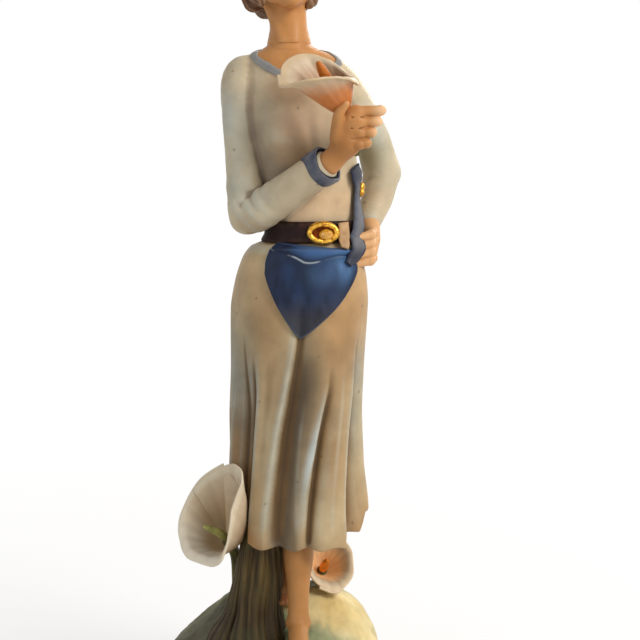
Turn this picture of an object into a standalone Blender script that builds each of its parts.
"""Resin figurine of a standing lady with calla lilies: cast, painted pieces glued together on steel pins.

Metres, +Z up. The origin is at the centre of the base's underside and the figure faces -Y.
Bearings are degrees round a vertical axis from the front (-Y) towards +X.
"""

import math
from bisect import bisect_right

import bmesh
import bpy
from mathutils import Matrix, Vector

MM = 0.001

# Fits
GLUE_GAP = 0.3 * MM
PIN_CLEARANCE = 0.2 * MM

# Base
BASE_WIDTH = 68 * MM
BASE_DEPTH = 66 * MM
MOUND_HEIGHT = 30 * MM
FELT_THICKNESS = 1.0 * MM
FELT_INSET = 3.0 * MM

# Heights of the figure above the underside of the base
HEM_HEIGHT = 48 * MM
WAIST_HEIGHT = 138 * MM
SHOULDER_HEIGHT = 180.5 * MM
NECK_HEIGHT = 191 * MM
CHIN_HEIGHT = 201.2 * MM

# Girths of the dress
HEM_WIDTH = 40.0 * MM
HEM_DEPTH = 34.0 * MM
KNEE_WIDTH = 38.8 * MM
KNEE_DEPTH = 29.0 * MM
HIP_WIDTH = 39.8 * MM
HIP_DEPTH = 30.5 * MM
WAIST_WIDTH = 25.0 * MM
WAIST_DEPTH = 18.6 * MM
BUST_WIDTH = 30.4 * MM
BUST_DEPTH = 20.8 * MM
BUST_RISE = 3.4 * MM
SHOULDER_WIDTH = 31.6 * MM
HEM_WALL = 2.4 * MM
HEM_RECESS = 3.4 * MM

# Head and neck
NECK_WIDTH = 11.2 * MM
HEAD_WIDTH = 18.8 * MM
HEAD_DEPTH = 22.4 * MM
SKULL_HEIGHT = 22.6 * MM
HAIR_THICKNESS = 2.2 * MM
HEAD_TURN = 20.0

# Sleeves and hands
UPPER_SLEEVE_WIDTH = 10.2 * MM
ELBOW_WIDTH = 11.6 * MM
FOREARM_WIDTH = 11.0 * MM
RIGHT_CUFF_WIDTH = 10.8 * MM
RIGHT_CUFF_LENGTH = 3.2 * MM
LEFT_WRIST_WIDTH = 7.2 * MM
WRIST_WIDTH = 7.2 * MM
FINGER_WIDTH = 2.9 * MM
FINGER_PITCH = 3.0 * MM

# Trimmings
BELT_HEIGHT = 5.4 * MM
BELT_THICKNESS = 1.0 * MM
BUCKLE_WIDTH = 9.4 * MM
BUCKLE_HEIGHT = 6.6 * MM
BUCKLE_WIRE = 1.7 * MM
STONE_WIDTH = 4.2 * MM
STONE_HEIGHT = 3.2 * MM
SCARF_THICKNESS = 1.0 * MM
SCARF_DROP = 26.4 * MM
SASH_THICKNESS = 1.3 * MM
TONGUE_THICKNESS = 1.2 * MM
CLASP_WIDTH = 2.6 * MM
CLASP_HEIGHT = 4.0 * MM
TRIM_WIDTH = 2.2 * MM

# Legs and steel pins
CALF_WIDTH = 9.6 * MM
ANKLE_WIDTH = 6.2 * MM
LEG_ROD_WIDTH = 1.8 * MM
BODY_PIN_WIDTH = 2.4 * MM
ARM_PIN_WIDTH = 1.8 * MM

# Lilies
SPATHE_THICKNESS = 0.9 * MM
THROAT_WIDTH = 5.6 * MM
STEM_WIDTH = 3.0 * MM
SPADIX_WIDTH = 2.2 * MM
HELD_LILY_WIDTH = 17.6 * MM
HELD_LILY_HEIGHT = 16.6 * MM
HELD_SPADIX_WIDTH = 3.2 * MM
LOW_LILY_WIDTH = 25.4 * MM
LOW_LILY_HEIGHT = 22.6 * MM
LOW_TIP_REACH = 0.24
REAR_LILY_WIDTH = 14.0 * MM
REAR_LILY_HEIGHT = 15.0 * MM
REAR_TIP_REACH = 0.14
TIP_SPREAD = 26.0
RIM_CURL = 0.07

FIGURE_FRONT = 12.0  # bearing that the waist and chest face
WAIST_X = 13.0 * MM
HEM_X = 9.0 * MM
HEM_Y = 0.5 * MM
HIP_X = 9.1 * MM
FULL_TURN = 360.0
MOST_MERGE = 0.00001


# Scene, collections and materials

for old in list(bpy.data.objects):
    bpy.data.objects.remove(old)

PARTS = bpy.data.collections.new("lily_lady_figurine")
CUTTERS = bpy.data.collections.new("cutters")
for made in (PARTS, CUTTERS):
    bpy.context.scene.collection.children.link(made)
CUTTERS.hide_render = True


def paint(name, colour, roughness, metallic=0.0):
    made = bpy.data.materials.new(name)
    made.use_nodes = True
    shader = made.node_tree.nodes["Principled BSDF"]
    shader.inputs["Base Color"].default_value = (*colour, 1.0)
    shader.inputs["Roughness"].default_value = roughness
    shader.inputs["Metallic"].default_value = metallic
    return made


CREAM = paint("cream_dress_paint", (0.55, 0.43, 0.28), 0.42)
SKIN = paint("skin_paint", (0.66, 0.38, 0.20), 0.45)
BROWN_HAIR = paint("brown_hair_paint", (0.10, 0.055, 0.035), 0.5)
GREY_BLUE = paint("grey_blue_trim_paint", (0.13, 0.14, 0.18), 0.45)
DEEP_BLUE = paint("deep_blue_scarf_paint", (0.035, 0.065, 0.13), 0.4)
BELT_BROWN = paint("brown_belt_paint", (0.05, 0.02, 0.012), 0.4)
GOLD = paint("gold_leaf", (0.75, 0.48, 0.10), 0.25, 1.0)
AMBER = paint("amber_stone", (0.45, 0.17, 0.02), 0.1)
PETAL = paint("ivory_petal_paint", (0.72, 0.60, 0.44), 0.35)
ORANGE = paint("orange_spadix_paint", (0.75, 0.25, 0.03), 0.5)
STEM_GREEN = paint("stem_green_paint", (0.12, 0.14, 0.06), 0.55)
GROUND = paint("mossy_ground_paint", (0.22, 0.21, 0.10), 0.6)
BARK = paint("olive_clump_paint", (0.09, 0.08, 0.04), 0.6)
FELT = paint("green_felt", (0.03, 0.07, 0.04), 0.95)
STEEL = paint("steel_pin", (0.5, 0.5, 0.5), 0.3, 1.0)


# Modelling tools

def mm(x, y, z):
    return Vector((x, y, z)) * MM


def place(name, mesh, material, smooth=True):
    """A part made from a mesh, in the figurine's collection."""
    made = bpy.data.objects.new(name, mesh)
    PARTS.objects.link(made)
    mesh.materials.clear()
    mesh.materials.append(material)
    if smooth:
        mesh.shade_smooth()
        mesh.set_sharp_from_angle(angle=math.radians(50))
    return made


def mesh_of(bm, name):
    """A mesh from a bmesh, with its faces pointing out."""
    bmesh.ops.recalc_face_normals(bm, faces=bm.faces)
    made = bpy.data.meshes.new(name)
    bm.to_mesh(made)
    bm.free()
    return made


def evaluated_mesh(part):
    graph = bpy.context.evaluated_depsgraph_get()
    return bpy.data.meshes.new_from_object(part.evaluated_get(graph))


def loft(name, rings, material):
    """A closed skin through rings that have the same number of points, with flat caps at both ends."""
    bm = bmesh.new()
    loops = [[bm.verts.new(point) for point in ring] for ring in rings]
    for low, high in zip(loops, loops[1:]):
        for i in range(len(low)):
            j = (i + 1) % len(low)
            bm.faces.new((low[i], low[j], high[j], high[i]))
    bm.faces.new(loops[0])
    bm.faces.new(loops[-1])
    return place(name, mesh_of(bm, name), material)


def limb(name, stations, material, sides=14, steps=4):
    """A round limb along a smooth curve: stations are (point, width), and the ends are flat."""
    curve = bpy.data.curves.new(name, "CURVE")
    curve.dimensions = "3D"
    curve.bevel_depth = 1.0
    curve.bevel_resolution = (sides - 4) // 2
    curve.resolution_u = steps
    curve.use_fill_caps = True
    spline = curve.splines.new("BEZIER")
    spline.bezier_points.add(len(stations) - 1)
    for knot, (point, width) in zip(spline.bezier_points, stations):
        knot.co = point
        knot.radius = width / 2
        knot.handle_left_type = knot.handle_right_type = "AUTO"
    guide = bpy.data.objects.new(name + "_curve", curve)
    PARTS.objects.link(guide)
    mesh = evaluated_mesh(guide)
    bpy.data.objects.remove(guide)
    bm = bmesh.new()
    bm.from_mesh(mesh)
    bmesh.ops.remove_doubles(bm, verts=bm.verts, dist=MOST_MERGE)
    return place(name, mesh_of(bm, name), material)


def blob(bm, centre, radii, frame=Matrix.Identity(4), sides=20):
    """An ellipsoid at a centre, both given in the frame's own axes."""
    shape = frame @ Matrix.Translation(centre) @ Matrix.Diagonal((*radii, 1.0))
    bmesh.ops.create_uvsphere(bm, u_segments=sides, v_segments=sides // 2, radius=1.0, matrix=shape)


def add_mesh(bm, part):
    """Adds a part's mesh to a bmesh and removes the part."""
    bm.from_mesh(part.data)
    bpy.data.objects.remove(part)


def fuse(name, bm, material, voxel, keep, rounds=3):
    """One skin round the overlapping shapes in a bmesh, thinned to a share of its faces."""
    made = place(name, mesh_of(bm, name), material)
    skin = made.modifiers.new("one_skin", "REMESH")
    skin.mode = "VOXEL"
    skin.voxel_size = voxel
    soften = made.modifiers.new("soften", "SMOOTH")
    soften.factor = 0.5
    soften.iterations = rounds
    thin = made.modifiers.new("thin", "DECIMATE")
    thin.ratio = keep
    return made


def as_cutter(name, mesh):
    made = bpy.data.objects.new(name, mesh)
    CUTTERS.objects.link(made)
    made.hide_render = True
    made.display_type = "WIRE"
    return made


def cut(part, cutter):
    step = part.modifiers.new("cut_by_" + cutter.name, "BOOLEAN")
    step.operation = "DIFFERENCE"
    step.solver = "EXACT"
    step.object = cutter


GROWN = {}
MOST_GROWTH = 1.4


def grown(part):
    """A cutter: the part swollen by the glue gap."""
    if part.name not in GROWN:
        mesh = evaluated_mesh(part)
        bm = bmesh.new()
        bm.from_mesh(mesh)
        bm.normal_update()
        for vertex in bm.verts:
            vertex.co += vertex.normal * GLUE_GAP * min(vertex.calc_shell_factor(), MOST_GROWTH)
        bm.to_mesh(mesh)
        bm.free()
        GROWN[part.name] = as_cutter(part.name + "_seat", mesh)
    return GROWN[part.name]


def seat(part, *neighbours):
    """Cuts a part back to the glue gap from each neighbour."""
    for neighbour in neighbours:
        cut(part, grown(neighbour))


def rod(name, start, end, width, material=None):
    """A round bar between two points: a steel pin, or a cutter if it has no material."""
    bm = bmesh.new()
    axis = end - start
    turn = axis.to_track_quat("Z", "Y").to_matrix().to_4x4()
    bmesh.ops.create_cone(
        bm,
        cap_ends=True,
        segments=12,
        radius1=width / 2,
        radius2=width / 2,
        depth=axis.length,
        matrix=Matrix.Translation((start + end) / 2) @ turn,
    )
    mesh = mesh_of(bm, name)
    return place(name, mesh, material) if material else as_cutter(name, mesh)


def pin(name, start, end, width, *holders):
    """A steel pin, with a hole for it in each holder."""
    made = rod(name, start, end, width, STEEL)
    along = (end - start).normalized() * GLUE_GAP
    hole = rod(name + "_hole", start - along, end + along, width + 2 * PIN_CLEARANCE)
    for holder in holders:
        cut(holder, hole)
    return made


def smooth_row(rows, key):
    """The row at a key, on a smooth curve through the rows that never overshoots them."""
    keys = [row[0] for row in rows]
    upper = min(max(bisect_right(keys, key), 1), len(rows) - 1)
    lower = upper - 1
    span = keys[upper] - keys[lower]
    t = (key - keys[lower]) / span

    def slope(i, column):
        if i in (0, len(rows) - 1):
            return 0.0
        before = (rows[i][column] - rows[i - 1][column]) / (keys[i] - keys[i - 1])
        after = (rows[i + 1][column] - rows[i][column]) / (keys[i + 1] - keys[i])
        return 0.0 if before * after <= 0 else 2 * before * after / (before + after)

    made = []
    for column in range(1, len(rows[0])):
        a, b = rows[lower][column], rows[upper][column]
        start, end = slope(lower, column) * span, slope(upper, column) * span
        made.append(
            a * (1 + 2 * t) * (1 - t) ** 2
            + start * t * (1 - t) ** 2
            + b * t * t * (3 - 2 * t)
            - end * t * t * (1 - t)
        )
    return made


def bump(offset, half_width):
    """A smooth bump of height 1 at offset 0."""
    return math.exp(-((offset / half_width) ** 2))


def turned(bearing):
    """A bearing brought into -180 to 180 degrees."""
    return (bearing + FULL_TURN / 2) % FULL_TURN - FULL_TURN / 2


def oval_point(x, y, width, depth, bearing, out=0.0):
    angle = math.radians(bearing)
    return x + (width / 2 + out) * math.sin(angle), y - (depth / 2 + out) * math.cos(angle)


def bearings(count):
    return [FULL_TURN * i / count for i in range(count)]


# Skirt: a solid casting with a shallow recess under the hem

SKIRT_ROWS = (  # share of the way from hem to waist, centre x, centre y, width, depth
    (0.00, HEM_X, HEM_Y, HEM_WIDTH, HEM_DEPTH),
    (0.20, 7.8 * MM, 0.8 * MM, (HEM_WIDTH + KNEE_WIDTH) / 2, (HEM_DEPTH + KNEE_DEPTH) / 2),
    (0.34, 7.7 * MM, 1.0 * MM, KNEE_WIDTH, KNEE_DEPTH),
    (0.50, 8.4 * MM, 1.0 * MM, KNEE_WIDTH, KNEE_DEPTH),
    (0.74, HIP_X, 1.4 * MM, HIP_WIDTH, HIP_DEPTH),
    (0.83, 9.5 * MM, 1.2 * MM, 0.96 * HIP_WIDTH, 0.96 * HIP_DEPTH),
    (0.905, 9.9 * MM, 0.9 * MM, 0.88 * HIP_WIDTH, 0.87 * HIP_DEPTH),
    (0.95, 11.2 * MM, 0.5 * MM, (HIP_WIDTH + WAIST_WIDTH) / 2, (HIP_DEPTH + WAIST_DEPTH) / 2),
    (0.975, 12.6 * MM, 0.2 * MM, 1.06 * WAIST_WIDTH, 1.08 * WAIST_DEPTH),
    (1.00, WAIST_X, 0.0, WAIST_WIDTH, WAIST_DEPTH),
)
SKIRT_SHARES = (
    *(0.0, 0.05, 0.11, 0.18, 0.25, 0.32, 0.40, 0.48, 0.56, 0.63),
    *(0.70, 0.79, 0.87, 0.925, 0.955, 0.978, 1.0),
)
SKIRT_SIDES = 108
HEM_LIFT = 6.0 * MM
RECESS_WALL = 1.3 * HEM_WALL
HEM_STEPS = (  # bearing where the hem starts to climb, bearing where it is up, share of the lift
    (39, 47, 0.50),
    (64, 73, 0.40),
    (92, 104, 0.10),
    (-34, -48, 0.20),
    (-56, -72, 0.45),
    (-84, -100, 0.35),
)

FOLDS = (  # rows of share, bearing, height in millimetres, width to the left and width to the right in degrees
    ((0, -29, 1.7, 13, 3.2), (0.2, -20, 1.8, 12, 3.2), (0.5, -9.5, 1.4, 11, 3.2), (0.77, 0, 0, 8, 4)),
    ((0, -19, -2.1, 6, 9), (0.2, -13, -2.2, 5, 10), (0.5, -3, -1.7, 5, 10), (0.8, 3, 0, 6, 8)),
    ((0, -1, 1.0, 4, 5), (0.15, 1, 0.6, 5, 6), (0.35, 5, 0.4, 5, 6), (0.5, 8, 0, 5, 6)),
    ((0, 3, 0, 4, 3), (0.2, 9.5, 1.0, 6, 3), (0.33, 17, 1.2, 7, 3), (0.56, 27, 0, 7, 4)),
    ((0, 8, -1.8, 3.2, 5), (0.2, 16, -1.8, 3.2, 5), (0.38, 24, -1.4, 3.2, 6), (0.62, 32, 0, 5, 8)),
    ((0, 26, 1.7, 11, 9), (0.2, 32, 1.7, 10, 9), (0.4, 39, 1.3, 10, 9), (0.62, 42, 0, 10, 10)),
    ((0, 39, 1.2, 8, 3.2), (0.2, 44, 1.3, 8, 3.2), (0.4, 50, 1.1, 7, 3.2), (0.7, 55, 0, 8, 4)),
    ((0, 50, -2.5, 4, 11), (0.4, 58, -2.1, 4, 11), (0.6, 62, -0.9, 5, 12), (0.72, 63, 0, 6, 12)),
    ((0, 77, 1.8, 9, 7), (0.3, 78, 1.3, 9, 7), (0.6, 76, 0, 9, 8)),
    ((0, 97, -1.9, 6, 7), (0.3, 97, -1.2, 6, 7), (0.5, 96, 0, 7, 7)),
    ((0, -43, 1.0, 3.2, 8), (0.2, -36, 1.2, 3.2, 8), (0.45, -33, 1.0, 3.2, 8), (0.68, -34, 0, 4, 8)),
    ((0, -50, -1.1, 6, 4), (0.2, -42, -1.3, 6, 4), (0.45, -39, -1.0, 6, 4), (0.64, -39, 0, 6, 4)),
    ((0, -56, -1.0, 4, 4), (0.2, -50, -1.2, 4, 4), (0.4, -46, -1.0, 4, 4), (0.72, -51, 0, 4, 4)),
    ((0, -67, 1.5, 8, 6), (0.3, -62, 1.3, 8, 6), (0.62, -62, 0, 8, 8)),
    ((0, -86, -1.8, 6, 9), (0.3, -84, -1.2, 6, 9), (0.5, -82, 0, 8, 8)),
)
BACK_FOLDS = (  # bearing, height, share where the fold fades
    (118, 1.5 * MM, 0.55),
    (140, 1.7 * MM, 0.62),
    (163, 1.4 * MM, 0.50),
    (186, 1.8 * MM, 0.64),
    (208, 1.4 * MM, 0.50),
    (232, 1.7 * MM, 0.58),
    (254, 1.3 * MM, 0.50),
)
SWELLS = (  # bearing, share, height and width in degrees of the thighs, the seat and the creases between them
    (-27, 0.70, 1.0 * MM, 20),
    (35, 0.70, 1.0 * MM, 20),
    (150, 0.78, 1.2 * MM, 20),
    (210, 0.78, 1.2 * MM, 20),
    (2, 0.70, -0.9 * MM, 6),
    (180, 0.78, -0.7 * MM, 8),
)
SWELL_HEIGHT = 0.15  # as a share of the way from hem to waist


def fold_height(bearing, share):
    """How far the cloth stands out from the plain oval, with its folds and the body under it."""
    total = 0.0
    for rows in FOLDS:
        if share < rows[-1][0]:
            middle, height, left, right = smooth_row(rows, share)
            off = turned(bearing - middle)
            total += height * MM * bump(off, left if off < 0 else right)
    for middle, height, fade in BACK_FOLDS:
        if share < fade:
            off = turned(bearing - middle - 5 * math.sin(4 * share + middle))
            ridge = bump(off, 9.0 if off < 0 else 4.5) - 0.8 * bump(off - 10, 6.0)
            total += height * (1 - share / fade) ** 0.75 * ridge
    for middle, level, height, half_width in SWELLS:
        total += height * bump(turned(bearing - middle), half_width) * bump(share - level, SWELL_HEIGHT)
    return total


def hem_height(bearing):
    """The hem hangs lowest in front and climbs pleat by pleat round the sides."""
    climb = 0.0
    for start, end, part in HEM_STEPS:
        share = min(1.0, max(0.0, (turned(bearing) - start) / (end - start)))
        climb += part * share * share * (3 - 2 * share)
    return HEM_HEIGHT + HEM_LIFT * climb


def skirt_point(bearing, share, out=0.0):
    x, y, width, depth = smooth_row(SKIRT_ROWS, share)
    low = hem_height(bearing)
    flat = oval_point(x, y, width, depth, bearing, out + fold_height(bearing, share))
    return Vector((*flat, low + share * (WAIST_HEIGHT - GLUE_GAP / 2 - low)))


def make_skirt():
    around = bearings(SKIRT_SIDES)
    inner = [skirt_point(b, 0.0, -HEM_WALL) for b in around]
    roof = [skirt_point(b, 0.0, -RECESS_WALL) + Vector((0, 0, HEM_RECESS)) for b in around]
    middle = sum(roof, Vector()) / len(roof)
    crown = [middle + (point - middle) * Vector((0.5, 0.5, 0.0)) for point in roof]
    outer = [[skirt_point(b, share) for b in around] for share in SKIRT_SHARES]
    return loft("skirt", [crown, roof, inner, *outer], CREAM)


skirt = make_skirt()


# Bodice: from the waist to the neck joint, with the bust

BODICE_ROWS = (  # share of the way from waist to neck joint, centre x, centre y, width, depth
    (0.00, WAIST_X, 0.0, WAIST_WIDTH, WAIST_DEPTH),
    (0.15, 12.6 * MM, 0.0, 1.01 * WAIST_WIDTH, 1.02 * WAIST_DEPTH),
    (0.30, 11.8 * MM, -0.2 * MM, (BUST_WIDTH + WAIST_WIDTH) / 2, (BUST_DEPTH + WAIST_DEPTH) / 2),
    (0.53, 9.8 * MM, 0.1 * MM, BUST_WIDTH, BUST_DEPTH),
    (0.70, 8.6 * MM, 0.6 * MM, SHOULDER_WIDTH, 0.95 * BUST_DEPTH),
    (0.82, 8.0 * MM, 0.9 * MM, SHOULDER_WIDTH, 0.85 * BUST_DEPTH),
    (0.90, 7.6 * MM, 1.0 * MM, 0.92 * SHOULDER_WIDTH, 0.74 * BUST_DEPTH),
    (0.945, 7.2 * MM, 0.9 * MM, 0.76 * SHOULDER_WIDTH, 0.66 * BUST_DEPTH),
    (0.975, 6.9 * MM, 0.7 * MM, (SHOULDER_WIDTH * 0.76 + NECK_WIDTH) / 2, 1.14 * NECK_WIDTH),
    (1.00, 6.7 * MM, 0.5 * MM, 1.14 * NECK_WIDTH, 1.08 * NECK_WIDTH),
)
BODICE_SHARES = (0.0, 0.10, 0.20, 0.30, 0.40, 0.48, 0.56, 0.64, 0.74, 0.83, 0.90, 0.945, 0.975, 1.0)
BODICE_SIDES = 36
BUST_SHARE = 0.49
BUST_SPREAD = 30.0


def bust_rise(bearing, share):
    sides = (FIGURE_FRONT - BUST_SPREAD, FIGURE_FRONT + BUST_SPREAD)
    across = sum(bump(turned(bearing - side), 24) for side in sides)
    return BUST_RISE * across * bump(share - BUST_SHARE, 0.14)


def bodice_point(bearing, share, out=0.0):
    x, y, width, depth = smooth_row(BODICE_ROWS, share)
    flat = oval_point(x, y, width, depth, bearing, out + bust_rise(bearing, share))
    low = WAIST_HEIGHT + GLUE_GAP / 2
    return Vector((*flat, low + share * (NECK_HEIGHT - low)))


def make_bodice():
    around = bearings(BODICE_SIDES)
    return loft("bodice", [[bodice_point(b, share) for b in around] for share in BODICE_SHARES], CREAM)


bodice = make_bodice()


def dress_point(bearing, height, out=0.0):
    """A point on the dress at a height, above or below the waist."""
    if height >= WAIST_HEIGHT:
        return bodice_point(bearing, (height - WAIST_HEIGHT) / (NECK_HEIGHT - WAIST_HEIGHT), out)
    low = hem_height(bearing)
    return skirt_point(bearing, (height - low) / (WAIST_HEIGHT - low), out)


# Base: felt pad, ground mound and the clump of leaves that props the skirt

FELT_TOP = FELT_THICKNESS
MOUND_FOOT = FELT_TOP + GLUE_GAP
MOUND_ROWS = (  # share of the height, then reach to the left, right, front and back as shares of half the base
    (0.00, 0.96, 0.95, 0.96, 0.95),
    (0.07, 1.00, 0.99, 1.00, 0.99),
    (0.20, 1.00, 1.00, 0.98, 1.00),
    (0.30, 0.95, 0.99, 0.90, 0.98),
    (0.40, 0.87, 0.97, 0.68, 0.95),
    (0.52, 0.75, 0.93, 0.36, 0.90),
    (0.70, 0.57, 0.85, 0.16, 0.82),
    (0.82, 0.45, 0.77, 0.05, 0.74),
    (0.92, 0.31, 0.62, -0.06, 0.63),
    (0.98, 0.16, 0.42, -0.16, 0.48),
)
MOUND_SHARES = (0.0, 0.03, 0.09, 0.2, 0.28, 0.36, 0.44, 0.54, 0.66, 0.78, 0.88, 0.95, 0.98)
MOUND_SIDES = 32


def mound_row(share):
    """Centre and half-sizes of the mound's outline at a share of its height."""
    left, right, front, back = smooth_row(MOUND_ROWS, share)
    half_width, half_depth = BASE_WIDTH / 2, BASE_DEPTH / 2
    x, reach_x = (right - left) / 2 * half_width, (right + left) / 2 * half_width
    y, reach_y = (back - front) / 2 * half_depth, (back + front) / 2 * half_depth
    return x, y, reach_x, reach_y


def mound_ring(share):
    x, y, reach_x, reach_y = mound_row(share)
    z = MOUND_FOOT + share * MOUND_HEIGHT
    return [Vector((*oval_point(x, y, 2 * reach_x, 2 * reach_y, b), z)) for b in bearings(MOUND_SIDES)]


def ground_height(x, y):
    """Height of the mound's surface above the underside of the base."""
    steps = 60
    top = 0.0
    for i in range(steps + 1):
        share = MOUND_ROWS[-1][0] * i / steps
        cx, cy, reach_x, reach_y = mound_row(share)
        if ((x - cx) / reach_x) ** 2 + ((y - cy) / reach_y) ** 2 <= 1:
            top = share
    return MOUND_FOOT + top * MOUND_HEIGHT


mound = loft("ground_mound", [mound_ring(share) for share in MOUND_SHARES], GROUND)

felt_ring = [
    oval_point(0, 0, 0.96 * BASE_WIDTH - 2 * FELT_INSET, 0.95 * BASE_DEPTH - 2 * FELT_INSET, b)
    for b in bearings(MOUND_SIDES)
]
felt = loft("felt_pad", [[Vector((*p, z)) for p in felt_ring] for z in (0.0, FELT_TOP)], FELT)


# Legs: the front one carries the steel rod, and the rear one stands on its toes

LEG_ROOF = HEM_HEIGHT + HEM_LIFT + HEM_RECESS + 6 * MM
DEEPEST_FOLD = 2.6 * MM
FRONT_LEG_X = 8.8 * MM
FRONT_LEG_LEAN = 5.8 * MM
FRONT_LEG_TOP_Y = HEM_Y - HEM_DEPTH / 2 + RECESS_WALL + DEEPEST_FOLD + CALF_WIDTH / 2 + GLUE_GAP
FRONT_LEG_Y = FRONT_LEG_TOP_Y - FRONT_LEG_LEAN
REAR_LEG_X = 4.6 * MM
REAR_LEG_LEAN = 1.5 * MM
REAR_LEG_Y = 2.5 * MM
ANKLE_LIFT = 1.6 * ANKLE_WIDTH


def make_leg(name, x, y, lean, foot_reach, foot_drop):
    """A calf, an ankle and a foot that points forwards and follows the ground."""
    ankle = Vector((x, y, ground_height(x, y) + ANKLE_LIFT))
    toes = ankle + Vector((0.04 * foot_reach, -foot_reach, -foot_drop))
    bm = bmesh.new()
    shin = [
        (Vector((x, y + lean, LEG_ROOF)), CALF_WIDTH),
        (Vector((x, y + 0.52 * lean, (LEG_ROOF + ankle.z) / 2)), 0.86 * CALF_WIDTH),
        (ankle, ANKLE_WIDTH),
        (ankle + Vector((0, 0.1 * ANKLE_WIDTH, -1.9 * ANKLE_WIDTH)), 0.98 * ANKLE_WIDTH),
    ]
    add_mesh(bm, limb(name + "_shin", shin, SKIN))
    foot = [
        (ankle + Vector((0, 0.25 * ANKLE_WIDTH, -0.5 * ANKLE_WIDTH)), 0.8 * ANKLE_WIDTH),
        (ankle + (toes - ankle) * 0.5 + Vector((0, 0, -0.1 * ANKLE_WIDTH)), 1.0 * ANKLE_WIDTH),
        (ankle + (toes - ankle) * 0.85, 0.95 * ANKLE_WIDTH),
        (toes, 0.5 * ANKLE_WIDTH),
    ]
    add_mesh(bm, limb(name + "_foot", foot, SKIN))
    return fuse(name, bm, SKIN, 0.6 * MM, 0.07)


front_leg = make_leg("front_leg", FRONT_LEG_X, FRONT_LEG_Y, FRONT_LEG_LEAN, 15.5 * MM, 11.5 * MM)
rear_leg = make_leg("rear_leg", REAR_LEG_X, REAR_LEG_Y, REAR_LEG_LEAN, 6.5 * MM, 9.0 * MM)


CLUMP_INSET = 5.4 * MM
CLUMP_X = HEM_X - HEM_WIDTH / 2 + HEM_WALL + CLUMP_INSET
CLUMP_Y = -5.0 * MM
CLUMP_ROWS = (  # share of the way from the ground to the skirt, centre x offset, width, depth
    (0.00, -2.5 * MM, 24.0 * MM, 17.0 * MM),
    (0.30, -0.8 * MM, 15.5 * MM, 13.0 * MM),
    (0.60, 0.5 * MM, 12.4 * MM, 12.0 * MM),
    (0.85, 1.0 * MM, 11.2 * MM, 11.6 * MM),
    (1.00, 1.2 * MM, 11.0 * MM, 11.0 * MM),
)
CLUMP_BLADES = 9
CLUMP_SIDES = 27
CLUMP_GROOVE = 0.5 * MM


def clump_rings(sides, groove_depth, out):
    """Rings up a column of leaf blades grown together, standing on the mound."""
    low, high = ground_height(CLUMP_X, CLUMP_Y) - 5 * MM, LEG_ROOF - 2 * MM
    rings = []
    for share in (0.0, 0.2, 0.4, 0.6, 0.8, 1.0):
        offset, width, depth = smooth_row(CLUMP_ROWS, share)
        ring = []
        for b in bearings(sides):
            groove = groove_depth * math.cos(math.radians(CLUMP_BLADES * b + 60 * share))
            flat = oval_point(CLUMP_X + offset, CLUMP_Y, width, depth, b, groove + out)
            ring.append(Vector((*flat, low + share * (high - low))))
        rings.append(ring)
    return rings


def make_clump_core():
    """A cutter: the whole column without its grooves, with the glue gap round it."""
    shape = loft("clump_core", clump_rings(16, 0.0, CLUMP_GROOVE + 1.5 * GLUE_GAP), BARK)
    mesh = shape.data
    bpy.data.objects.remove(shape)
    return as_cutter("clump_core", mesh)


clump = loft("leaf_clump", clump_rings(CLUMP_SIDES, CLUMP_GROOVE, 0.0), BARK)
clump_core = make_clump_core()
seat(front_leg, mound, skirt)
seat(rear_leg, mound, skirt)
seat(clump, mound, skirt, front_leg, rear_leg)


# Belt, buckle and stone

def faces_out(part, centre):
    """Turns an open sheet's faces away from a point, so that its thickness goes outwards."""
    face = part.data.polygons[len(part.data.polygons) // 2]
    if face.normal.dot(face.center - centre) < 0:
        part.data.flip_normals()


BELT_GAP = 1.7 * GLUE_GAP


def belt_band(bearing, share):
    height = WAIST_HEIGHT + (share - 0.45) * BELT_HEIGHT
    return dress_point(bearing, height, BELT_GAP)


def make_belt():
    bm = bmesh.new()
    around = bearings(48)
    loops = [[bm.verts.new(belt_band(b, share)) for b in around] for share in (0.0, 0.45, 0.5, 1.0)]
    for low, high in zip(loops, loops[1:]):
        for i in range(len(low)):
            j = (i + 1) % len(low)
            bm.faces.new((low[i], low[j], high[j], high[i]))
    made = place("belt", mesh_of(bm, "belt"), BELT_BROWN)
    faces_out(made, Vector((WAIST_X, 0, WAIST_HEIGHT)))
    thicken = made.modifiers.new("thickness", "SOLIDIFY")
    thicken.thickness = BELT_THICKNESS
    thicken.offset = 1.0
    return made


def make_belt_drum():
    """A cutter: a solid drum as large as the belt with the glue gap round it."""
    out = BELT_GAP + BELT_THICKNESS + 1.5 * GLUE_GAP
    low = WAIST_HEIGHT - 0.45 * BELT_HEIGHT - BELT_THICKNESS
    high = WAIST_HEIGHT + 0.55 * BELT_HEIGHT + 1.5 * GLUE_GAP
    rings = [[dress_point(b, height, out) for b in bearings(48)] for height in (low, WAIST_HEIGHT, high)]
    shape = loft("belt_drum", rings, BELT_BROWN)
    mesh = shape.data
    bpy.data.objects.remove(shape)
    return as_cutter("belt_drum", mesh)


belt = make_belt()
belt_drum = make_belt_drum()


def facing(bearing, height, out):
    """A frame on the dress: x runs round the body, y up it and z out of it."""
    here = dress_point(bearing, height, out)
    side = (dress_point(bearing + 4, height, out) - dress_point(bearing - 4, height, out)).normalized()
    lean = dress_point(bearing, height + 1.5 * MM, out) - dress_point(bearing, height - 1.5 * MM, out)
    outward = side.cross(lean).normalized()
    rise = outward.cross(side)
    return Matrix.Translation(here) @ Matrix((side, rise, outward)).transposed().to_4x4()


BUCKLE_OUT = BELT_GAP + BELT_THICKNESS + GLUE_GAP + BUCKLE_WIRE / 2
BUCKLE_RISE = 0.2 * MM
STONE_DEPTH = 1.1 * MM


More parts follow.
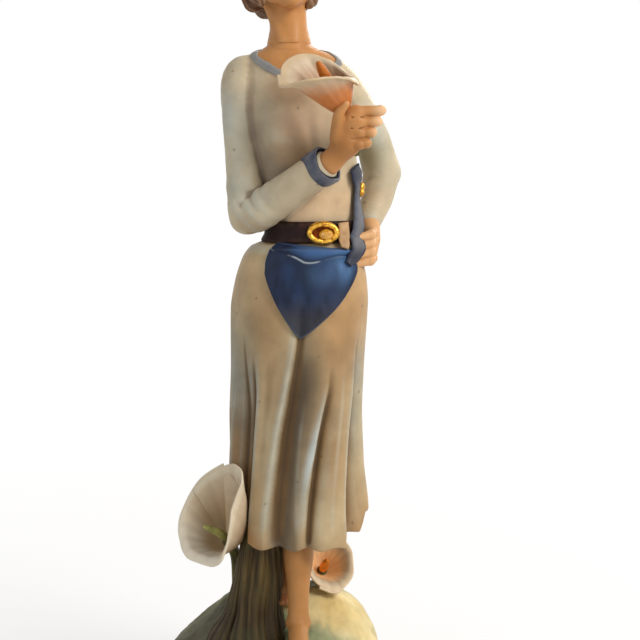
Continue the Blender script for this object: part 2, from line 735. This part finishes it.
def make_buckle():
    """An oval ring of gold wire with an amber stone set in it."""
    spot = facing(FIGURE_FRONT, WAIST_HEIGHT + BUCKLE_RISE, BUCKLE_OUT)
    bpy.ops.mesh.primitive_torus_add(
        major_radius=(BUCKLE_WIDTH - BUCKLE_WIRE) / 2,
        minor_radius=BUCKLE_WIRE / 2,
        major_segments=24,
        minor_segments=8,
    )
    ring = bpy.context.object
    flatten = (BUCKLE_HEIGHT - BUCKLE_WIRE) / (BUCKLE_WIDTH - BUCKLE_WIRE)
    ring.data.transform(Matrix.Diagonal((1, flatten, 1, 1)))
    ring.data.transform(spot)
    frame = place("buckle_frame", ring.data.copy(), GOLD)
    bpy.data.objects.remove(ring)
    bm = bmesh.new()
    set_in = Vector((0.4 * MM, -0.3 * MM, 0.0))
    blob(bm, set_in, (STONE_WIDTH / 2, STONE_HEIGHT / 2, STONE_DEPTH), spot, 16)
    stone = place("buckle_stone", mesh_of(bm, "buckle_stone"), AMBER)
    return frame, stone


buckle_frame, buckle_stone = make_buckle()
seat(buckle_frame, belt, bodice, skirt)
seat(buckle_stone, belt, bodice, skirt, buckle_frame)


# Blue hip scarf: a pointed panel that hangs from the belt

SCARF_LEFT = -32.0
SCARF_RIGHT = 56.0
SCARF_POINT = 2.0
SCARF_SLANT = 4.6 * MM
SCARF_COLUMNS = 16
SCARF_ROWS = 9


def scarf_edges(bearing):
    """Heights of the scarf's upper and lower edges at a bearing."""
    top = WAIST_HEIGHT - 0.45 * BELT_HEIGHT - 3 * GLUE_GAP
    across = (bearing - SCARF_LEFT) / (SCARF_RIGHT - SCARF_LEFT)
    upper = top - SCARF_SLANT * across
    tip = top - SCARF_DROP
    if bearing < SCARF_POINT:
        share = ((SCARF_POINT - bearing) / (SCARF_POINT - SCARF_LEFT)) ** 1.5
    else:
        share = ((bearing - SCARF_POINT) / (SCARF_RIGHT - SCARF_POINT)) ** 1.35
    lower = tip + 0.72 * SCARF_DROP * share
    return upper, min(lower, upper - 2 * MM)


def make_scarf():
    bm = bmesh.new()
    bmesh.ops.create_grid(bm, x_segments=SCARF_COLUMNS, y_segments=SCARF_ROWS, size=1.0)
    for vertex in bm.verts:
        bearing = SCARF_LEFT + (vertex.co.x + 1) / 2 * (SCARF_RIGHT - SCARF_LEFT)
        upper, lower = scarf_edges(bearing)
        height = lower + (vertex.co.y + 1) / 2 * (upper - lower)
        vertex.co = dress_point(bearing, height, 1.5 * GLUE_GAP)
    made = place("hip_scarf", mesh_of(bm, "hip_scarf"), DEEP_BLUE)
    faces_out(made, Vector((HIP_X, 0, WAIST_HEIGHT - SCARF_DROP / 2)))
    thicken = made.modifiers.new("thickness", "SOLIDIFY")
    thicken.thickness = SCARF_THICKNESS
    thicken.offset = 1.0
    return made


scarf = make_scarf()


# Belt tongue, and the side sash with its gold clasp that hangs from under the bust over the belt

SASH_ROWS = (  # height above the waist, bearing, half-width, extra height off the dress
    (-9.0 * MM, 43.0, 0.7 * MM, 1.2 * MM),
    (-6.5 * MM, 50.0, 1.5 * MM, 1.4 * MM),
    (-3.0 * MM, 58.0, 2.0 * MM, 1.5 * MM),
    (2.0 * MM, 66.0, 2.1 * MM, 1.4 * MM),
    (6.0 * MM, 70.0, 1.9 * MM, 0.9 * MM),
    (10.0 * MM, 73.0, 1.5 * MM, 0.4 * MM),
    (13.0 * MM, 73.0, 1.4 * MM, 0.4 * MM),
    (15.5 * MM, 68.0, 1.9 * MM, 0.5 * MM),
    (18.5 * MM, 60.0, 1.5 * MM, 0.4 * MM),
)


TONGUE_ROWS = (
    (-6.0 * MM, 37.0, 1.0 * MM, 1.3 * MM),
    (-4.6 * MM, 38.0, 1.5 * MM, 1.4 * MM),
    (-1.0 * MM, 39.0, 1.6 * MM, 1.4 * MM),
    (3.0 * MM, 38.0, 1.6 * MM, 1.4 * MM),
)


def make_strip(name, rows, thickness, material):
    """A flat band that lies on the dress through the rows."""
    rings = []
    for rise, bearing, half_width, lift in rows:
        spot = facing(bearing, WAIST_HEIGHT + rise, GLUE_GAP + thickness / 2 + lift)
        ring = []
        for b in bearings(10):
            angle = math.radians(b)
            ring.append(spot @ Vector((half_width * math.cos(angle), 0, thickness / 2 * math.sin(angle))))
        rings.append(ring)
    return loft(name, rings, material)


tongue = make_strip("belt_tongue", TONGUE_ROWS, TONGUE_THICKNESS, CREAM)
sash = make_strip("side_sash", SASH_ROWS, SASH_THICKNESS, GREY_BLUE)
CLASP_RISE, CLASP_BEARING = 12.0 * MM, 78.0
bm = bmesh.new()
clasp_spot = facing(CLASP_BEARING, WAIST_HEIGHT + CLASP_RISE, GLUE_GAP + SASH_THICKNESS)
blob(bm, Vector((0, 0, 0.2 * MM)), (CLASP_WIDTH / 2, CLASP_HEIGHT / 2, 1.1 * MM), clasp_spot, 12)
clasp = place("sash_clasp", mesh_of(bm, "sash_clasp"), GOLD)
seat(tongue, belt, bodice, skirt, scarf, buckle_frame)
seat(sash, bodice, skirt, belt, scarf, tongue)
seat(clasp, sash, bodice)


# Collar trim: a cord of cloth round the edge of the V neckline

TRIM_POINTS = (  # bearing and share of the bodice's height
    (-150.0, 0.955),
    (-105.0, 0.965),
    (-66.0, 0.950),
    (-40.0, 0.905),
    (-16.0, 0.845),
    (FIGURE_FRONT, 0.780),
    (38.0, 0.850),
    (62.0, 0.905),
    (84.0, 0.950),
    (118.0, 0.965),
    (158.0, 0.955),
)
trim_path = [(bodice_point(b, share, 0.15 * TRIM_WIDTH), TRIM_WIDTH) for b, share in TRIM_POINTS]
trim = limb("collar_trim", trim_path, GREY_BLUE, sides=8, steps=3)
seat(trim, bodice)


# Head with its neck, and the hair

SKULL_DROP = 15.8 * MM  # from the middle of the skull to the chin
HEAD_FRAME = Matrix.Translation((3.9 * MM, 1.0 * MM, CHIN_HEIGHT + SKULL_DROP)) @ Matrix.Rotation(
    math.radians(HEAD_TURN), 4, "Z"
)


def make_head():
    bm = bmesh.new()
    half_width, half_depth, half_height = HEAD_WIDTH / 2, HEAD_DEPTH / 2, SKULL_HEIGHT / 2
    blob(bm, mm(0, 1.0, 0.5), (half_width, half_depth, half_height), HEAD_FRAME)
    blob(bm, mm(0, -3.6, -5.6), (0.83 * half_width, 0.65 * half_depth, 0.82 * half_height), HEAD_FRAME)
    blob(bm, mm(0, -7.9, -13.1), (0.35 * half_width, 0.25 * half_depth, 0.22 * half_height), HEAD_FRAME)
    blob(bm, mm(0, -10.9, -4.9), (0.15 * half_width, 0.16 * half_depth, 0.24 * half_height), HEAD_FRAME)
    neck = [
        (Vector((6.7 * MM, 0.5 * MM, NECK_HEIGHT + GLUE_GAP)), 1.12 * NECK_WIDTH),
        (Vector((6.5 * MM, 0.4 * MM, NECK_HEIGHT + 5 * MM)), NECK_WIDTH),
        (Vector((5.6 * MM, 1.0 * MM, CHIN_HEIGHT + 3 * MM)), NECK_WIDTH),
        (HEAD_FRAME @ mm(0, 2.0, -4.0), NECK_WIDTH),
    ]
    add_mesh(bm, limb("neck", neck, SKIN))
    return fuse("head", bm, SKIN, 0.8 * MM, 0.09)


FRINGE_LOCKS = (  # width and three points of each lock that sweeps from the parting, in millimetres
    (3.0, (-2.4, -8.6, 9.6), (-6.0, -9.6, 5.4), (-8.6, -6.4, -0.5)),
    (3.2, (-2.6, -7.0, 11.2), (-7.4, -7.4, 7.4), (-10.0, -4.0, 0.5)),
    (3.2, (-1.8, -8.8, 9.8), (3.2, -10.8, 6.6), (8.2, -7.4, 1.0)),
    (3.4, (-1.6, -7.6, 11.2), (4.6, -9.0, 9.0), (9.6, -5.2, 2.0)),
    (2.2, (-1.2, -9.4, 8.6), (1.6, -11.2, 6.6), (5.6, -10.0, 3.2)),
)


def make_hair():
    """A short bob: a cap over the skull, two sides to the jaw and a tapered nape."""
    bm = bmesh.new()
    reach_x, reach_y = HEAD_WIDTH / 2 + HAIR_THICKNESS, HEAD_DEPTH / 2 + HAIR_THICKNESS
    blob(bm, mm(0, 1.6, 0.7), (reach_x, reach_y, SKULL_HEIGHT / 2 + HAIR_THICKNESS), HEAD_FRAME)
    blob(bm, mm(-0.3, 7.0, -10.6), (0.62 * reach_x, 0.46 * reach_y, 9.6 * MM), HEAD_FRAME)
    for side in (-1, 1):
        blob(bm, mm(side * 8.3, 0.0, -7.6), (3.2 * MM, 6.6 * MM, 8.2 * MM), HEAD_FRAME)
    for i, (width, *points) in enumerate(FRINGE_LOCKS):
        ways = [(HEAD_FRAME @ mm(*point), width * MM * share) for point, share in zip(points, (0.6, 1.0, 0.7))]
        add_mesh(bm, limb(f"lock_{i}", ways, BROWN_HAIR, sides=10))
    made = fuse("hair", bm, BROWN_HAIR, 0.8 * MM, 0.09)
    window = bmesh.new()
    blob(window, mm(0, -13.2, -5.4), (7.8 * MM, 8.6 * MM, 10.6 * MM), HEAD_FRAME)
    cut(made, as_cutter("face_window", mesh_of(window, "face_window")))
    return made


head = make_head()
hair = make_hair()
seat(head, bodice)
seat(hair, head)
seat(trim, head)


# Sleeves, cuff and hands

SHOULDER_Y = 0.6 * MM
ELBOW_RISE = 5.3 * MM  # of the right elbow above the waist
RIGHT_SHOULDER = Vector((8.0 * MM - SHOULDER_WIDTH / 2, SHOULDER_Y, SHOULDER_HEIGHT))
RIGHT_ELBOW = Vector((RIGHT_SHOULDER.x + 3.3 * MM, SHOULDER_Y - 5.2 * MM, WAIST_HEIGHT + ELBOW_RISE))
RIGHT_WRIST = RIGHT_ELBOW + mm(19.3, -13.2, 12.8)
LEFT_SHOULDER = Vector((7.6 * MM + SHOULDER_WIDTH / 2, SHOULDER_Y + 1.5 * MM, SHOULDER_HEIGHT - 1 * MM))
LEFT_WRIST = Vector((29.6 * MM, 7.4 * MM, WAIST_HEIGHT + 3.0 * MM))
LEFT_ELBOW_SHARE = 0.65  # of the drop from the shoulder to the wrist
LEFT_ELBOW = LEFT_SHOULDER + mm(9.9, 12.5, 0.0)
LEFT_ELBOW.z += LEFT_ELBOW_SHARE * (LEFT_WRIST.z - LEFT_SHOULDER.z)
SHOULDER_CAP = 1.16

bent_arm = bmesh.new()
sleeve_way = limb(
    "right_sleeve_way",
    [
        (RIGHT_SHOULDER + mm(3.6, 0.0, 6.6), 0.25 * UPPER_SLEEVE_WIDTH),
        (RIGHT_SHOULDER + mm(2.2, 0.0, 4.6), 0.80 * UPPER_SLEEVE_WIDTH),
        (RIGHT_SHOULDER + mm(0.2, 0.0, 0.0), SHOULDER_CAP * UPPER_SLEEVE_WIDTH),
        (RIGHT_SHOULDER.lerp(RIGHT_ELBOW, 0.48) + mm(-0.9, 1.0, 0), UPPER_SLEEVE_WIDTH),
        (RIGHT_SHOULDER.lerp(RIGHT_ELBOW, 0.80) + mm(-1.2, 0.8, 0), UPPER_SLEEVE_WIDTH),
        (RIGHT_ELBOW, ELBOW_WIDTH),
        (RIGHT_ELBOW.lerp(RIGHT_WRIST, 0.5) + mm(0, 0.4, -0.6), FOREARM_WIDTH),
        (RIGHT_WRIST, RIGHT_CUFF_WIDTH * 0.94),
    ],
    CREAM,
    sides=16,
)
add_mesh(bent_arm, sleeve_way)
right_sleeve = fuse("right_sleeve", bent_arm, CREAM, 0.7 * MM, 0.09)
left_sleeve = limb(
    "left_sleeve",
    [
        (LEFT_SHOULDER + mm(-3.6, 0.0, 6.4), 0.25 * UPPER_SLEEVE_WIDTH),
        (LEFT_SHOULDER + mm(-2.2, 0.0, 4.4), 0.80 * UPPER_SLEEVE_WIDTH),
        (LEFT_SHOULDER + mm(0.0, 0.3, 0.0), SHOULDER_CAP * UPPER_SLEEVE_WIDTH),
        (LEFT_SHOULDER.lerp(LEFT_ELBOW, 0.55) + mm(0.8, 0, 0), UPPER_SLEEVE_WIDTH),
        (LEFT_ELBOW, 0.95 * ELBOW_WIDTH),
        (LEFT_ELBOW.lerp(LEFT_WRIST, 0.55) + mm(0.6, 0.6, 0), 0.86 * FOREARM_WIDTH),
        (LEFT_WRIST, LEFT_WRIST_WIDTH),
    ],
    CREAM,
    sides=16,
)
seat(right_sleeve, bodice, skirt)
cut(right_sleeve, belt_drum)
seat(left_sleeve, bodice, skirt, belt, sash, clasp)

forearm_way = (RIGHT_WRIST - RIGHT_ELBOW).normalized()
cuff_start = RIGHT_WRIST + forearm_way * GLUE_GAP
cuff_end = cuff_start + forearm_way * RIGHT_CUFF_LENGTH
right_cuff = limb(
    "right_cuff",
    [
        (cuff_start, RIGHT_CUFF_WIDTH * 0.96),
        (cuff_start.lerp(cuff_end, 0.5), RIGHT_CUFF_WIDTH),
        (cuff_end, RIGHT_CUFF_WIDTH),
    ],
    GREY_BLUE,
    sides=16,
    steps=2,
)
seat(right_cuff, bodice, right_sleeve)


def make_hand(name, palm_centre, palm_radii, palm_frame, wrist, fingers):
    """A palm with a wrist and fingers grown into it. Each finger is a list of points."""
    bm = bmesh.new()
    blob(bm, Vector(), palm_radii, Matrix.Translation(palm_centre) @ palm_frame, 16)
    add_mesh(bm, limb(name + "_wrist", wrist, SKIN, sides=12, steps=3))
    for i, points in enumerate(fingers):
        widths = [FINGER_WIDTH * (1.05 - 0.12 * j) for j in range(len(points))]
        add_mesh(bm, limb(f"{name}_finger_{i}", list(zip(points, widths)), SKIN, sides=10, steps=3))
        blob(bm, points[-1], (widths[-1] / 2,) * 3, sides=8)
    return fuse(name, bm, SKIN, 0.5 * MM, 0.07, rounds=4)


RIGHT_PALM = RIGHT_WRIST + mm(8.2, -3.4, 10.2)
right_fingers = []
for i, reach in enumerate((8.6, 7.6, 6.1, 4.7)):
    knuckle = RIGHT_PALM + Vector((2.4 * MM, -1.2 * MM, 5.6 * MM - i * FINGER_PITCH))
    bend = knuckle + mm(reach - 2.4, 0.6, 0.4)
    right_fingers.append([knuckle, bend, bend + mm(-0.5, 4.4, 0.1), bend + mm(-4.4, 6.5, 0.3)])
thumb_root = RIGHT_PALM + mm(-3.2, -1.6, 1.6)
right_fingers.append([thumb_root, thumb_root + mm(0.4, -1.8, 3.4), thumb_root + mm(2.2, -2.8, 6.0)])
right_hand = make_hand(
    "right_hand",
    RIGHT_PALM,
    (5.4 * MM, 3.3 * MM, 7.2 * MM),
    Matrix.Rotation(math.radians(12), 4, "Y"),
    [(cuff_end + forearm_way * GLUE_GAP, 0.95 * WRIST_WIDTH), (RIGHT_PALM + mm(-1.0, 0.3, -4.0), WRIST_WIDTH)],
    right_fingers,
)

LEFT_PALM = LEFT_WRIST + mm(0.0, -4.2, -7.0)
left_fingers = []
for i in range(4):
    knuckle = LEFT_PALM + Vector((0.4 * MM, -2.0 * MM, 3.6 * MM - i * 0.86 * FINGER_PITCH))
    left_fingers.append([knuckle, knuckle + mm(-1.2, -4.4, -0.6), knuckle + mm(-3.6, -7.6, -1.2)])
left_thumb = (mm(-0.4, 2.6, 2.6), mm(-1.6, 6.0, 1.6), mm(-4.6, 8.2, 1.0))
left_fingers.append([LEFT_PALM + point for point in left_thumb])
left_hand = make_hand(
    "left_hand",
    LEFT_PALM,
    (2.6 * MM, 4.4 * MM, 5.6 * MM),
    Matrix.Identity(4),
    [
        (LEFT_WRIST + mm(-0.3, -0.4, -0.6), 0.86 * LEFT_WRIST_WIDTH),
        (LEFT_PALM + mm(0, 0.8, 2.2), 0.86 * LEFT_WRIST_WIDTH),
    ],
    left_fingers,
)


# Calla lilies: a rolled spathe, a spadix in its throat and a stem

def lily_frame(throat, mouth, tip_way):
    """A frame at the throat: z runs to the mouth and y towards the tip of the spathe."""
    along = (mouth - throat).normalized()
    side = tip_way.cross(along).normalized()
    turn = Matrix((side, along.cross(side), along)).transposed().to_4x4()
    return Matrix.Translation(throat) @ turn


def spathe_point(bearing, share, length, lean, mouth_width, mouth_height, flare, tip_reach):
    """A cup with a slanted oval mouth, drawn out to a tip on one side, with its rim curled outwards."""
    angle = math.radians(bearing)
    tip = bump(bearing, TIP_SPREAD)
    opened = share ** flare
    side = THROAT_WIDTH / 2 + (mouth_width - THROAT_WIDTH) / 2 * opened
    reach = THROAT_WIDTH / 2 + (mouth_height - THROAT_WIDTH) / 2 * opened * (1 + tip_reach * tip * share)
    across = side * math.sin(angle)
    forward = reach * math.cos(angle)
    curl = RIM_CURL * length * max(0.0, share - 0.75) / 0.25
    slant = (lean.x * across + lean.y * forward) * share
    return Vector((across, forward, length * share - curl + slant))


def make_lily(name, throat, mouth, tip_way, face_way, form, pushes, spadix_top, spadix_width, stem_route):
    """One flower. Each push moves the rim at a bearing, over a spread of bearings, by a vector."""
    frame = lily_frame(throat, mouth, tip_way)
    length = (mouth - throat).length
    face = frame.to_3x3().inverted() @ face_way
    lean = Vector((-face.x / face.z, -face.y / face.z))
    bm = bmesh.new()
    loops = []
    for share in (0.0, 0.22, 0.45, 0.65, 0.82, 0.93, 1.0):
        loop = []
        for b in bearings(24):
            spot = frame @ spathe_point(turned(b), share, length, lean, *form)
            for middle, spread, way in pushes:
                spot += bump(turned(b - middle), spread) * share ** 3 * way
            loop.append(bm.verts.new(spot))
        loops.append(loop)
    for low, high in zip(loops, loops[1:]):
        for i in range(len(low)):
            j = (i + 1) % len(low)
            bm.faces.new((low[i], low[j], high[j], high[i]))
    bm.faces.new(loops[0])
    spathe = place(name + "_spathe", mesh_of(bm, name), PETAL)
    faces_out(spathe, throat.lerp(mouth, 0.5))
    thicken = spathe.modifiers.new("thickness", "SOLIDIFY")
    thicken.thickness = SPATHE_THICKNESS
    thicken.offset = -1.0
    root = frame @ Vector((0, 0, SPATHE_THICKNESS + GLUE_GAP))
    rise = frame.to_3x3() @ Vector((0, 0, 0.35 * spadix_top.length))
    spadix = limb(
        name + "_spadix",
        [
            (root, 0.7 * spadix_width),
            (root + 0.5 * rise + 0.25 * spadix_top, spadix_width),
            (throat + spadix_top, 0.45 * spadix_width),
        ],
        ORANGE,
        sides=10,
        steps=3,
    )
    down = frame.to_3x3() @ Vector((0, 0, -1))
    stem_top = throat + down * GLUE_GAP
    route = [(stem_top, 1.1 * STEM_WIDTH), (stem_top + down * 0.5 * STEM_WIDTH, STEM_WIDTH)]
    route += [(point, STEM_WIDTH) for point in stem_route]
    stem = limb(name + "_stem", route, STEM_GREEN, sides=10, steps=3)
    return spathe, spadix, stem


HELD_THROAT = RIGHT_PALM + mm(-1.6, 0.6, 6.6)
held_spathe, held_spadix, held_stem = make_lily(
    "held_lily",
    HELD_THROAT,
    HELD_THROAT + mm(-7.4, -5.4, 12.4),
    Vector((1.0, 0.3, 0.0)),
    Vector((0.05, -0.36, 0.93)),
    (HELD_LILY_WIDTH, HELD_LILY_HEIGHT, 1.0, 0.0),
    ((0.0, 48.0, mm(0, 0, -5.6)), (180.0, 44.0, mm(0, 0, -5.0))),
    mm(-7.0, -5.2, 12.4),
    HELD_SPADIX_WIDTH,
    [HELD_THROAT + mm(1.9, 1.8, -3.0), HELD_THROAT + mm(3.0, 3.0, -8.0), HELD_THROAT + mm(3.2, 3.1, -13.0)],
)

LOW_THROAT = Vector((-11.6 * MM, -3.2 * MM, HEM_HEIGHT - 0.9 * MM))
low_spathe, low_spadix, low_stem = make_lily(
    "low_lily",
    LOW_THROAT,
    LOW_THROAT + mm(-4.0, -8.8, 11.4),
    Vector((0.30, 0.0, -1.0)),
    Vector((-0.66, -0.67, 0.34)),
    (LOW_LILY_WIDTH, LOW_LILY_HEIGHT, 0.6, LOW_TIP_REACH),
    ((-60.0, 44.0, mm(-4.6, 0, 0)),),
    mm(-7.0, -5.2, 6.0),
    SPADIX_WIDTH,
    [LOW_THROAT + mm(1.6, 4.6, -5.0), LOW_THROAT + mm(2.0, 6.6, -13.0), LOW_THROAT + mm(1.8, 7.2, -22.6)],
)

REAR_X = BASE_WIDTH / 2 - 18.4 * MM
REAR_Y = BASE_DEPTH / 2 - 17.0 * MM
REAR_THROAT = Vector((REAR_X, REAR_Y, ground_height(REAR_X, REAR_Y) + 3.4 * MM))
rear_spathe, rear_spadix, rear_stem = make_lily(
    "rear_lily",
    REAR_THROAT,
    REAR_THROAT + mm(2.6, -8.0, 6.4),
    Vector((0.17, 0.0, 0.98)),
    Vector((0.25, -0.76, 0.60)),
    (REAR_LILY_WIDTH, REAR_LILY_HEIGHT, 0.7, REAR_TIP_REACH),
    (),
    mm(1.7, -5.2, 4.9),
    SPADIX_WIDTH,
    [REAR_THROAT + mm(-0.6, 2.4, -2.6), REAR_THROAT + mm(-0.8, 3.2, -7.0)],
)

seat(held_spathe, bodice, trim)
seat(held_stem, held_spathe)
seat(right_hand, right_cuff, right_sleeve, bodice, held_spathe, held_stem, sash)
seat(left_hand, left_sleeve, skirt, belt, bodice, sash, scarf, clasp)
seat(low_spathe, skirt, mound)
cut(low_spathe, clump_core)
seat(low_spadix, skirt)
seat(low_stem, low_spathe, mound, skirt)
cut(low_stem, clump_core)
seat(rear_spathe, mound, skirt, front_leg, rear_leg)
seat(rear_stem, rear_spathe, mound)
seat(rear_spadix, rear_leg, front_leg)


# Steel pins inside the joints

ROD_FOOT = MOUND_FOOT + 4 * MM
rod_low = Vector((FRONT_LEG_X, FRONT_LEG_Y + 0.4 * MM, ground_height(FRONT_LEG_X, FRONT_LEG_Y) + ANKLE_LIFT))
rod_way = Vector((FRONT_LEG_X, FRONT_LEG_TOP_Y, LEG_ROOF)) - rod_low
pin(
    "leg_rod",
    rod_low + rod_way * ((ROD_FOOT - rod_low.z) / rod_way.z),
    rod_low + rod_way * ((HEM_HEIGHT + 25 * MM - rod_low.z) / rod_way.z),
    LEG_ROD_WIDTH,
    mound,
    front_leg,
    skirt,
)
pin(
    "waist_pin",
    Vector((WAIST_X, 0, WAIST_HEIGHT - 12 * MM)),
    Vector((WAIST_X, 0, WAIST_HEIGHT + 12 * MM)),
    BODY_PIN_WIDTH,
    skirt,
    bodice,
)
pin(
    "neck_pin",
    Vector((6.6 * MM, 0.5 * MM, NECK_HEIGHT - 8 * MM)),
    Vector((6.6 * MM, 0.5 * MM, NECK_HEIGHT + 8 * MM)),
    BODY_PIN_WIDTH,
    bodice,
    head,
)
pin(
    "right_arm_pin",
    RIGHT_SHOULDER + mm(-2.5, 0, -1),
    RIGHT_SHOULDER + mm(7, 0, -1),
    ARM_PIN_WIDTH,
    bodice,
    right_sleeve,
)
pin(
    "left_arm_pin",
    LEFT_SHOULDER + mm(-7, 0, -1),
    LEFT_SHOULDER + mm(2.5, 0, -1),
    ARM_PIN_WIDTH,
    bodice,
    left_sleeve,
)
pin(
    "clump_pin",
    Vector((CLUMP_X, CLUMP_Y, ground_height(CLUMP_X, CLUMP_Y) - 8 * MM)),
    Vector((CLUMP_X, CLUMP_Y, ground_height(CLUMP_X, CLUMP_Y) + 8 * MM)),
    ARM_PIN_WIDTH,
    mound,
    clump,
)
